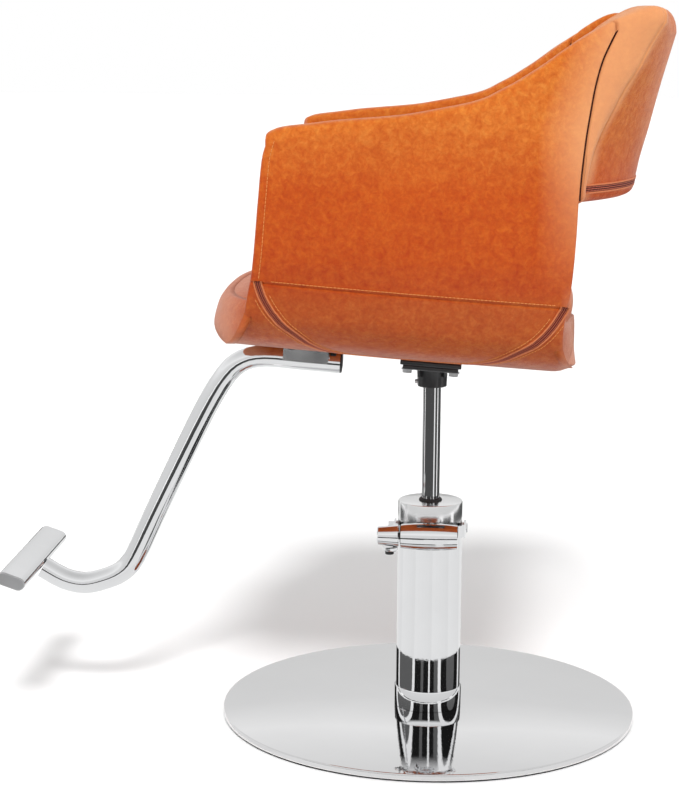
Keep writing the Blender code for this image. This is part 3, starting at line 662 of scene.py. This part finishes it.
def leather():
    mat, tree, shader = new_material("waxed_leather")
    vector = coordinates(tree)
    clouds = noise(tree, vector, 9.0, 3.0, 0.5, 0.4)
    mottle = noise(tree, vector, 92.0, 8.0, 0.72, 0.5)
    speck = noise(tree, vector, 210.0, 3.0, 0.6)
    base = ramp(tree, mottle, [(0.36, (0.475, 0.066, 0.0042)), (0.50, (0.530, 0.092, 0.0070)),
                               (0.64, (0.585, 0.128, 0.0130))])
    tone = ramp(tree, clouds, [(0.30, (0.95, 0.90, 0.88)), (0.70, (1.04, 1.07, 1.09))])
    base = blend_color(tree, 1.0, base, tone, "MULTIPLY")
    fine = ramp(tree, speck, [(0.35, (0.93, 0.90, 0.88)), (0.65, (1.06, 1.08, 1.10))])
    base = blend_color(tree, 1.0, base, fine, "MULTIPLY")
    x, y, z = axes(tree, vector)
    # Painted shading by height: the colour is multiplied darker low down and paler and whiter towards the top,
    # where more light falls.
    height = spread(tree, z, 0.56, 1.02)
    painted_height_shading = ramp(tree, height, [(0.0, (0.68, 0.73, 0.95)), (0.19, (0.735, 0.73, 0.95)),
                                (0.235, (0.745, 0.60, 0.48)), (0.50, (0.845, 0.74, 0.49)),
                                (0.69, (1.00, 1.37, 1.90)), (1.0, (1.03, 1.50, 2.20))])
    base = blend_color(tree, 1.0, base, painted_height_shading, "MULTIPLY")
    # Painted sheen: the leather is painted paler beside the rear seam, and on the corner strip behind it,
    # up to the crease where the back begins, a painted highlight where light catches the rounded corner.
    seam = spread(tree, z, 0.88, 1.03, 0.204, 0.253)
    behind = combined(tree, y, seam, "SUBTRACT")
    crease = spread(tree, z, 0.86, 1.03, 0.214, 0.3095)
    past = combined(tree, y, crease, "SUBTRACT")
    painted_sheen_band = combined(tree, spread(tree, behind, -0.066, -0.008), spread(tree, past, 0.010, -0.002))
    far_out = spread(tree, combined(tree, x, x), 0.238**2, 0.256**2)
    high = combined(tree, far_out, spread(tree, z, 0.66, 0.84, 0.0, 0.70))
    base = blend_color(tree, combined(tree, painted_sheen_band, high), base, (0.700, 0.330, 0.150))
    # It is also painted paler low down on the front and rear panels, a painted sheen of the white surroundings
    # on these faces.
    low = spread(tree, z, 0.68, 0.65, 0.0, 0.34)
    for start, full in ((-0.238, -0.272), (0.172, 0.190)):
        end = combined(tree, low, spread(tree, y, start, full))
        base = blend_color(tree, end, base, (0.640, 0.330, 0.210))
    settle(shader, Base_Color=base, Roughness=spread(tree, mottle, 0.3, 0.7, 0.50, 0.36),
           Specular_IOR_Level=0.16, Coat_Weight=0.05, Coat_Roughness=0.30, Sheen_Weight=0.03,
           Sheen_Roughness=0.5)
    pores = make(tree, "TexVoronoi", Vector=vector, Scale=620.0)
    pores.feature = "DISTANCE_TO_EDGE"
    grain = spread(tree, pores.outputs["Distance"], 0.0, 0.16)
    bump(tree, shader, [noise(tree, vector, 38.0, 4.0, 0.55), noise(tree, vector, 420.0, 3.0, 0.6), grain],
         [0.0009, 0.00018, 0.00010])
    return mat


def wave(tree, vector, scale, distortion=0.0):
    node = make(tree, "TexWave", Vector=vector, Scale=scale, Distortion=distortion)
    node.bands_direction = "DIAGONAL"
    return node.outputs["Fac"]


def thread(name, color):
    """Twisted thread, painted darker in the grooves of its twist: painted shade."""
    mat, tree, shader = new_material(name)
    twist = wave(tree, coordinates(tree), 260.0, 2.0)
    dark = tuple(c * 0.72 for c in color)
    base = ramp(tree, twist, [(0.2, dark), (0.8, color)])
    settle(shader, Base_Color=base, Roughness=0.62, Sheen_Weight=0.05, Specular_IOR_Level=0.15)
    bump(tree, shader, [twist], [0.0002])
    return mat


def tape():
    """The woven tape of a zip, painted darker in the low parts of its weave: painted shade."""
    mat, tree, shader = new_material("zip_tape")
    vector = coordinates(tree)
    weave = wave(tree, vector, 320.0)
    base = ramp(tree, weave, [(0.1, (0.022, 0.005, 0.004)), (0.9, (0.050, 0.011, 0.008))])
    rough = spread(tree, noise(tree, vector, 300.0), 0.3, 0.7, 0.75, 0.55)
    settle(shader, Base_Color=base, Roughness=rough, Specular_IOR_Level=0.15)
    bump(tree, shader, [weave], [0.0002])
    return mat


def metal(name, color, rough_low, rough_high, smudge=9.0, brushed=None):
    """Metal with faint smudges; a brushed one also has fine lines running out from the column's axis."""
    mat, tree, shader = new_material(name)
    vector = coordinates(tree)
    cloudy = noise(tree, vector, smudge, 5.0, 0.6)
    dark = tuple(c * 0.965 for c in color)
    base = ramp(tree, cloudy, [(0.35, dark), (0.65, color)])
    rough = spread(tree, cloudy, 0.3, 0.7, rough_low, rough_high)
    settle(shader, Base_Color=base, Roughness=rough, Metallic=1.0)
    heights, deep = [noise(tree, vector, 260.0, 2.0)], [0.00002]
    if brushed:
        x, y, _ = axes(tree, vector)
        lines = make(tree, "TexNoise", Scale=brushed, Detail=5.0)
        lines.noise_dimensions = "1D"
        settle(lines, W=combined(tree, y, x, "ARCTAN2"))
        heights.append(lines.outputs["Fac"])
        deep.append(0.000006)
    bump(tree, shader, heights, deep)
    return mat


def plain(name, low, high, rough, scale=60.0, deep=0.0002, coat=0.0, stretch=(1, 1, 1)):
    """A matt or painted surface with slight variation and texture."""
    mat, tree, shader = new_material(name)
    vector = coordinates(tree, stretch)
    spots = noise(tree, vector, scale, 5.0, 0.6)
    base = ramp(tree, spots, [(0.3, low), (0.7, high)])
    varied = spread(tree, spots, 0.3, 0.7, rough - 0.06, rough + 0.06)
    settle(shader, Base_Color=base, Roughness=varied, Coat_Weight=coat)
    bump(tree, shader, [noise(tree, vector, scale * 6, 3.0)], [deep])
    return mat


LEATHER = leather()
THREAD = thread("orange_thread", (0.72, 0.27, 0.075))
TAPE = tape()
CHROME = metal("polished_chrome", (0.86, 0.865, 0.875), 0.025, 0.05)
STAINLESS = metal("brushed_stainless", (0.80, 0.80, 0.805), 0.02, 0.035, 5.0, brushed=160.0)
SATIN = metal("satin_steel", (0.62, 0.62, 0.63), 0.26, 0.36, 30.0)
BRIGHT = metal("bright_steel", (0.86, 0.86, 0.865), 0.14, 0.22, 20.0)
DARK_STEEL = metal("dark_steel", (0.13, 0.13, 0.14), 0.38, 0.52, 40.0)
BLACK = plain("black_paint", (0.010, 0.010, 0.011), (0.020, 0.020, 0.022), 0.34, 90.0, 0.0001, coat=0.3)
RUBBER = plain("black_rubber", (0.014, 0.014, 0.014), (0.026, 0.026, 0.027), 0.72, 140.0)
PLYWOOD = plain("plywood", (0.34, 0.22, 0.12), (0.52, 0.37, 0.22), 0.62, 24.0, stretch=(1, 8, 8))
FOAM = plain("foam", (0.62, 0.58, 0.46), (0.72, 0.68, 0.56), 0.85, 400.0, 0.0006)
FINISHES = {
    "chrome": CHROME, "stainless": STAINLESS, "satin_steel": SATIN, "dark_steel": DARK_STEEL,
    "black_paint": BLACK, "rubber": RUBBER, "plywood": PLYWOOD, "foam": FOAM, "leather": LEATHER,
}
BRIGHT_NODES = ("footrest_bracket", "column_cap")   # these get a finish between chrome and satin steel


# ---- CAD nodes: smooth normals and finishes
def soften(obj, angle=36.0):
    """Shading normals shared across faces that nearly agree; the mesh itself stays as packed."""
    mesh = obj.data
    mesh.shade_smooth()
    corner_vertex = np.zeros(len(mesh.loops), int)
    mesh.loops.foreach_get("vertex_index", corner_vertex)
    co = np.zeros(len(mesh.vertices) * 3)
    mesh.vertices.foreach_get("co", co)
    spots = co.reshape(-1, 3)[corner_vertex]
    flat = np.zeros(len(mesh.polygons) * 3)
    mesh.polygons.foreach_get("normal", flat)
    sizes = np.array([len(p.vertices) for p in mesh.polygons])
    faces = np.repeat(np.arange(len(sizes)), sizes)
    normal = flat.reshape(-1, 3)[faces]
    starts = np.array([p.loop_start for p in mesh.polygons])
    index = np.arange(len(spots))
    first = starts[faces]
    after = first + (index - first + 1) % sizes[faces]
    before = first + (index - first - 1) % sizes[faces]
    one, two = unit(spots[after] - spots), unit(spots[before] - spots)
    weight = np.arccos(np.clip((one * two).sum(1), -1, 1))
    _, group = np.unique(np.round(spots * 2e5).astype(np.int64), axis=0, return_inverse=True)
    group = group.ravel()
    order = np.argsort(group, kind="stable")
    made = np.zeros_like(normal)
    limit = math.cos(math.radians(angle))
    edges = np.flatnonzero(np.diff(group[order])) + 1
    for members in np.split(order, edges):
        these = normal[members]
        near = (these @ these.T) > limit
        made[members] = (near * weight[members]) @ these
    mesh.normals_split_custom_set([tuple(v) for v in unit(made)])


def finish_cad():
    """Gives every CAD node the finish that its own material is named for, and smooth normals."""
    for name, obj in NODES.items():
        old = obj.data.materials[0].name if obj.data.materials else ""
        kind = next((k for k in FINISHES if k in old), "satin_steel")
        obj.data.materials.clear()
        obj.data.materials.append(BRIGHT if name in BRIGHT_NODES else FINISHES[kind])
        soften(obj)


# ---- putting the upholstery together
def dress(obj, *replaced, material=LEATHER, fill=None):
    """Gives a piece its material, the CAD nodes it stands for and the body it rides on."""
    obj.data.materials.clear()
    obj.data.materials.append(material)
    if replaced:
        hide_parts(*replaced)
    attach(obj, "seat")


CLOTH_FRAMES = 20


def inflate(obj, held, cap):
    """Cloth pressure on a cover with its seams held, then how far any point moved is capped."""
    scene = bpy.context.scene
    mesh = obj.data
    before = np.zeros(len(mesh.vertices) * 3)
    mesh.vertices.foreach_get("co", before)
    group = obj.vertex_groups.new(name="held")
    for i in np.flatnonzero(held > 0.001):
        group.add([int(i)], float(held[i]), "REPLACE")
    mod = obj.modifiers.new("cloth", "CLOTH")
    settings = mod.settings
    settings.quality = 6
    settings.mass = 0.4
    settings.tension_stiffness = settings.compression_stiffness = 18
    settings.shear_stiffness = 8
    settings.bending_stiffness = 0.6
    settings.use_pressure = True
    settings.uniform_pressure_force = 4.0
    settings.vertex_group_mass = "held"
    settings.effector_weights.gravity = 0.0
    mod.collision_settings.use_collision = False
    mod.point_cache.frame_start, mod.point_cache.frame_end = 1, CLOTH_FRAMES
    for number in range(1, CLOTH_FRAMES + 1):
        scene.frame_set(number)
    graph = bpy.context.evaluated_depsgraph_get()
    swollen = obj.evaluated_get(graph).to_mesh()
    after = np.zeros(len(before))
    swollen.vertices.foreach_get("co", after)
    obj.evaluated_get(graph).to_mesh_clear()
    obj.modifiers.remove(mod)
    obj.vertex_groups.remove(group)
    scene.frame_set(1)
    step = (after - before).reshape(-1, 3)
    size = np.linalg.norm(step, axis=1, keepdims=True)
    step *= np.tanh(size / cap) * cap / np.maximum(size, 1e-9)
    mesh.vertices.foreach_set("co", (before.reshape(-1, 3) + step).ravel())
    mesh.update()


def holding(obj, lines, fixed=0.0, near=0.004, fade=0.024):
    """How firmly each point is held while a cover swells: fully at its seams, and less away from them."""
    co = np.zeros(len(obj.data.vertices) * 3)
    obj.data.vertices.foreach_get("co", co)
    points = np.concatenate([dense(line, 0.005) for line in lines])
    gap = np.full(len(co) // 3, 9.0)
    for point in points:
        gap = np.minimum(gap, np.linalg.norm(co.reshape(-1, 3) - point, axis=1))
    return np.maximum(1 - smoothstep((gap - near) / fade), fixed)


def lower(obj, height):
    """1 for each point of a cover below a height in the raked frame, 0 for the others."""
    return np.array([v.co.z - drop(v.co.y) < height for v in obj.data.vertices], float)


def swell(cushion, roll, fascia, rear):
    """Pressure in the cushion, the roll and both panels, with seams, undersides and linings held."""
    count = len(fascia.data.vertices)
    inside = (np.arange(count) % (2 * PANEL_ROWS) >= PANEL_ROWS).astype(float)
    for obj, centre, edge in ((fascia, FASCIA_CENTRE, FASCIA_EDGE), (rear, REAR_CENTRE, REAR_EDGE)):
        lines = [edge, mirror(edge)]
        for row in (0, -1):
            middle, side = (0.0, *centre[row]), edge[row]
            lines.append([mirror([side])[0], middle, side])
        inflate(obj, holding(obj, lines, inside), 0.004)
    left = [(-PAD_HALF, -0.245, 0.640), (-PAD_HALF, 0.130, 0.640)]
    sides = [rake(left), rake(mirror(left))]
    inflate(cushion, holding(cushion, sides, lower(cushion, SHELL_TOP + 0.012), 0.006, 0.040), 0.005)
    left = [(-PAD_HALF, 0.150, 0.66), (-PAD_HALF, 0.178, 0.66)]
    inflate(roll, holding(roll, [rake(left), rake(mirror(left))], lower(roll, 0.645)), 0.004)


def tree_of(obj):
    mesh = obj.data
    return BVHTree.FromPolygons([v.co for v in mesh.vertices], [tuple(p.vertices) for p in mesh.polygons])


# Cross-sections of a zip, as (across, up) from its middle line.
TAPE_PROFILE = [
    (-0.0044, -0.0012), (0.0044, -0.0012), (0.0044, 0.0003), (0.0038, 0.0006), (-0.0038, 0.0006),
    (-0.0044, 0.0003),
]
EDGE_SIZE = 0.0011
EDGE_PROFILE = [
    (across * EDGE_SIZE, up * EDGE_SIZE)
    for across, up in ((-1, -1), (1, -1), (1.2, 0.2), (0.7, 1.0), (-0.7, 1.0), (-1.2, 0.2))
]
COIL_RADIUS = 0.00075
COIL_ROWS = (-0.0026, 0.0, 0.0026)
EDGE_ROWS = (-0.0051, 0.0051)
STITCH_ROWS = (-0.0105, 0.0105)
LINE_STEP = 0.003


def zip_line(spots, normals):
    """A zip let into the leather: tape, three rows of coil, and the folded leather edge on each side."""
    coils = [ribbon(spots, normals, cord_profile(COIL_RADIUS, row, 0.0005)) for row in COIL_ROWS]
    edges = []
    for row in EDGE_ROWS:
        edges.append(ribbon(spots, normals, [(row + across, up + 0.0002) for across, up in EDGE_PROFILE]))
    return [ribbon(spots, normals, TAPE_PROFILE)], coils, edges


# Guide points of the two zips on each side, from the side seam's ends down to the middle of the underside.
FRONT_ZIP = [
    (0.2850, -0.2251, 0.6710), (0.2850, -0.2191, 0.6500), (0.2800, -0.2064, 0.6270), (0.2700, -0.1919, 0.6080),
    (0.2580, -0.1765, 0.5930), (0.2360, -0.1577, 0.5750), (0.2050, -0.1343, 0.5600), (0.1700, -0.1011, 0.5530),
    (0.1500, -0.0422, 0.5480),
]
REAR_ZIP = [
    (0.2850, 0.1789, 0.6430), (0.2800, 0.1636, 0.6160), (0.2700, 0.1411, 0.5910), (0.2560, 0.1174, 0.5740),
    (0.2320, 0.0901, 0.5570), (0.2000, 0.0585, 0.5450), (0.1650, 0.0136, 0.5430), (0.1500, -0.0422, 0.5480),
]


def details(tub, band):
    """The zips and the stitches, as lists of ribbons."""
    tapes, coils, edges, threads = [], [], [], []
    for route in (FRONT_ZIP, REAR_ZIP):
        for line in (route, mirror(route)):
            spots, normals = snapped(tub, dense(line, LINE_STEP))
            for made, parts in zip((tapes, coils, edges), zip_line(spots, normals)):
                made += parts
            across = unit(np.cross(np.gradient(spots, axis=0), normals))
            for row in STITCH_ROWS:
                beside, ways = snapped(tub, spots[6:-14] + across[6:-14] * row)
                threads += stitches(beside, ways)
    places = np.linspace(-SEAM_BACK_X, SEAM_BACK_X, 41)
    back = [(x, float(back_plan(abs(x), BAND_ZIP_Z)), BAND_ZIP_Z) for x in places]
    for made, parts in zip((tapes, coils, edges), zip_line(*snapped(band, dense(back, LINE_STEP)))):
        made += parts
    for side in (1, -1):
        seam = [(side * 0.30, y, SIDE_SEAM + 0.0042 + drop(y)) for y in np.linspace(-0.211, 0.171, 30)]
        front = [(side * 0.30, float(tub_front(z)) + 0.0050, z) for z in np.linspace(0.675, 0.862, 24)]
        for line in (seam, front):
            threads += stitches(*snapped(tub, dense(line, LINE_STEP)))
    return tapes, coils, edges, threads


def corner_backing():
    """Strips a little below the leather, behind the seams between band and arms, up to near their top."""
    z = np.linspace(0.786, 1.008, 75)
    y = tub_rear(z)
    reach = float(np.linalg.norm(MITRE)) / 2 - SEAM_DEPTH
    strip = [(-reach, -0.0016), (reach, -0.0016), (reach, 0.0016), (-reach, 0.0016)]
    made = []
    for side in (1, -1):
        flip = np.array((side, 1, 1))
        line = np.stack([side * side_width(y, z), y, z], -1) + MITRE * flip / 2
        across = np.tile(REAR_WAY * flip, (len(line), 1))
        points, faces = ribbon(line, across, strip)
        points[:, 2] = np.minimum(points[:, 2], arm_top(points[:, 1]) - 0.009)
        made.append((points, faces))
    return made


def upholstery():
    """Makes every cover and detail, and says what each rides on and replaces."""
    tub = build_tub()
    band = build_band()
    cushion = build_cushion()
    roll = build_roll()
    fascia = pillow("front_panel_cover", FASCIA_CENTRE, FASCIA_EDGE)
    rear = pillow("rear_panel_cover", REAR_CENTRE, REAR_EDGE)
    swell(cushion, roll, fascia, rear)
    dress(tub, "arm_left", "arm_right", "seat_shell", fill=0.9)
    dress(band, "back_panel", fill=0.85)
    dress(cushion, "seat_cushion", "seat_core", fill=0.8)
    dress(roll, "seat_rear_roll", fill=0.8)
    dress(fascia, fill=0.8)
    dress(rear, fill=0.8)

    tapes, coils, edges, threads = details(tree_of(tub), tree_of(band))
    coil = thread("zip_coil", (0.40, 0.085, 0.045))
    edge = plain("leather_edge", (0.46, 0.105, 0.024), (0.58, 0.170, 0.052), 0.55, 300.0)
    for name, parts, material in (
        ("seam_backing", corner_backing(), TAPE), ("zip_tapes", tapes, TAPE), ("zip_coils", coils, coil),
        ("zip_edges", edges, edge), ("seam_stitches", threads, THREAD),
    ):
        dress(merged(name, parts), material=material)


# ---- studio
FLOOR_SIZE = 40.0
FLOOR_Z = -0.0003
CARD_RADII = (0.315, 1.42, 6.0)     # where the pale cards begin, the grey ones begin and they end
CARD_Z = 0.0006
PALE = (0.83, 0.865, 0.845, 0.875, 0.855)
SUNS = (    # place, aim, strength, apparent size in degrees
    ("key", (2.99, 0.31, 3.4), (0.0, 0.0, 0.0), 2.5, 13.0),
    ("fill_front", (-0.9, -3.4, 1.4), (0.0, 0.0, 0.6), 0.7, 30.0),
    ("fill_rear", (-0.9, 3.4, 1.4), (0.0, 0.0, 0.6), 0.7, 30.0),
)


def glow(name, level):
    """A grey that gives its own light."""
    mat = bpy.data.materials.new(name)
    mat.use_nodes = True
    tree = mat.node_tree
    tree.nodes.remove(tree.nodes["Principled BSDF"])
    light = make(tree, "Emission", Color=(level, level, level, 1.0), Strength=1.0)
    settle(tree.nodes["Material Output"], Surface=light.outputs[0])
    return mat


def card(name, inner, outer, start, end, z, material):
    """A flat piece of a ring on the floor, by radius and bearing in degrees, that only reflections see."""
    angles = np.radians(np.linspace(start, end, 7))
    near = [(inner * math.cos(a), inner * math.sin(a), z) for a in angles]
    far = [(outer * math.cos(a), outer * math.sin(a), z) for a in angles[::-1]]
    obj = new_object(name, near + far, [tuple(range(14))], smooth=False)
    obj.data.materials.append(material)
    for way in ("camera", "diffuse", "shadow", "transmission", "volume_scatter"):
        setattr(obj, "visible_" + way, False)


def ground():
    """The pale floor, and glowing cards that only reflections see, painted reflections in the metal: pale near
    the base, grey further out.
    """
    corners = [(x * FLOOR_SIZE, y * FLOOR_SIZE, FLOOR_Z) for x, y in ((-1, -1), (1, -1), (1, 1), (-1, 1))]
    floor = new_object("floor", corners, [(0, 1, 2, 3)], smooth=False)
    mat, _, shader = new_material("studio_floor")
    settle(shader, Base_Color=(0.90, 0.90, 0.90, 1.0), Roughness=0.9, Specular_IOR_Level=0.0)
    floor.data.materials.append(mat)

    shades = [glow(f"card_pale_{i}", level) for i, level in enumerate(PALE)]
    grey, white = glow("card_grey", 0.075), glow("card_white", 1.0)
    inner, middle, outer = CARD_RADII
    for i in range(30):
        card(f"near_card_{i}", inner, middle, 12 * i, 12 * i + 12, CARD_Z, shades[i * 3 % 5])
    for turn in (0, 180):
        for i, (start, end, kind) in enumerate([(-88, 34, grey), (34, 48, white), (48, 80, grey)]):
            card(f"far_card_{turn}_{i}", middle, outer, start + turn, end + turn, CARD_Z, kind)
    # A dark glowing card that only reflections see, a painted reflection that darkens the footrest tube.
    card("tube_card", 1.16, 1.43, -84, -4, 0.0009, glow("card_dark", 0.03))


def grey_ramp(tree, value, stops, kind="LINEAR"):
    return ramp(tree, value, [(place, (grey,) * 3) for place, grey in stops], kind)


def surroundings():
    """The world: white to the camera, soft light on matt surfaces, and its own greys in reflections."""
    world = bpy.data.worlds.new("studio")
    bpy.context.scene.world = world
    world.use_nodes = True
    tree = world.node_tree
    tree.nodes.clear()
    path = make(tree, "LightPath")
    _, y, z = axes(tree, make(tree, "TexCoord").outputs["Generated"])
    up = spread(tree, z, 0.0, 1.0)
    once = grey_ramp(tree, up, [(0.0, 0.70), (0.30, 0.78), (0.45, 0.95), (1.0, 0.6)])
    # Metal mirrored in other metal shows upright dark and bright stripes low down, as a furnished room would.
    bearing = spread(tree, y, -1.0, 1.0)
    stripes = grey_ramp(tree, bearing, [(0.0, 0.13), (0.08, 1.0), (0.13, 0.012), (0.29, 0.13), (0.37, 0.012),
                                        (0.52, 1.0), (0.57, 0.012), (0.69, 0.13), (0.80, 1.0), (0.87, 0.012),
                                        (0.97, 0.13)], "CONSTANT")
    above = grey_ramp(tree, up, [(0.0, 0.0), (0.62, 0.0), (0.72, 1.0), (1.0, 0.6)])
    twice = blend_color(tree, 1.0, above, stripes, "LIGHTEN")
    mirrored = blend_color(tree, spread(tree, path.outputs["Glossy Depth"], 1.4, 1.6), once, twice)
    white = (1, 1, 1, 1)
    shown = make(tree, "Background", Color=white, Strength=0.62)
    glossy_way = make(tree, "Background", Color=mirrored)
    camera_way = make(tree, "Background", Color=white, Strength=1.0)
    for ray, way in (("Is Glossy Ray", glossy_way), ("Is Camera Ray", camera_way)):
        mix = make(tree, "MixShader")
        for value, socket in zip((path.outputs[ray], shown.outputs[0], way.outputs[0]), mix.inputs):
            tree.links.new(value, socket)
        shown = mix
    make(tree, "OutputWorld", Surface=shown.outputs[0])


def studio():
    ground()
    surroundings()
    for name, spot, aim, power, wide in SUNS:
        data = bpy.data.lights.new(name, "SUN")
        data.angle = math.radians(wide)
        data.energy = power
        lamp = bpy.data.objects.new(name, data)
        lamp.location = spot
        lamp.rotation_euler = (Vector(aim) - Vector(spot)).to_track_quat("-Z", "Y").to_euler()
        bpy.context.scene.collection.objects.link(lamp)
        lamp.visible_glossy = False
    view = bpy.context.scene.view_settings
    view.view_transform = "Standard"
    view.look = "None"


ORBIT = 3.0         # degrees the camera stands round towards the rear, about the column
CAMERA_SPOT = (2.8696, -0.0766, 0.9752)     # before that turn
CAMERA_ANGLES = (1.1672 + ORBIT, 9.8707, 0.377)     # yaw, pitch down and roll, in degrees
CAMERA_LENS = 90.48


def camera():
    yaw, pitch, roll = (math.radians(a) for a in CAMERA_ANGLES)
    ahead = Vector((-math.cos(pitch) * math.cos(yaw), -math.cos(pitch) * math.sin(yaw), -math.sin(pitch)))
    right = Vector((-math.sin(yaw), math.cos(yaw), 0))
    up = right.cross(ahead)
    across = math.cos(roll) * right + math.sin(roll) * up
    upward = -math.sin(roll) * right + math.cos(roll) * up
    data = bpy.data.cameras.new("view")
    data.lens, data.sensor_width, data.sensor_fit = CAMERA_LENS, 36.0, "AUTO"
    data.clip_end = 200.0
    obj = bpy.data.objects.new("view", data)
    turn = Matrix((across, upward, -ahead)).transposed().to_4x4()
    spot = Matrix.Rotation(math.radians(ORBIT), 4, "Z") @ Vector(CAMERA_SPOT)
    obj.matrix_world = Matrix.Translation(spot) @ turn
    bpy.context.scene.collection.objects.link(obj)
    bpy.context.scene.camera = obj


camera()
finish_cad()
upholstery()
studio()
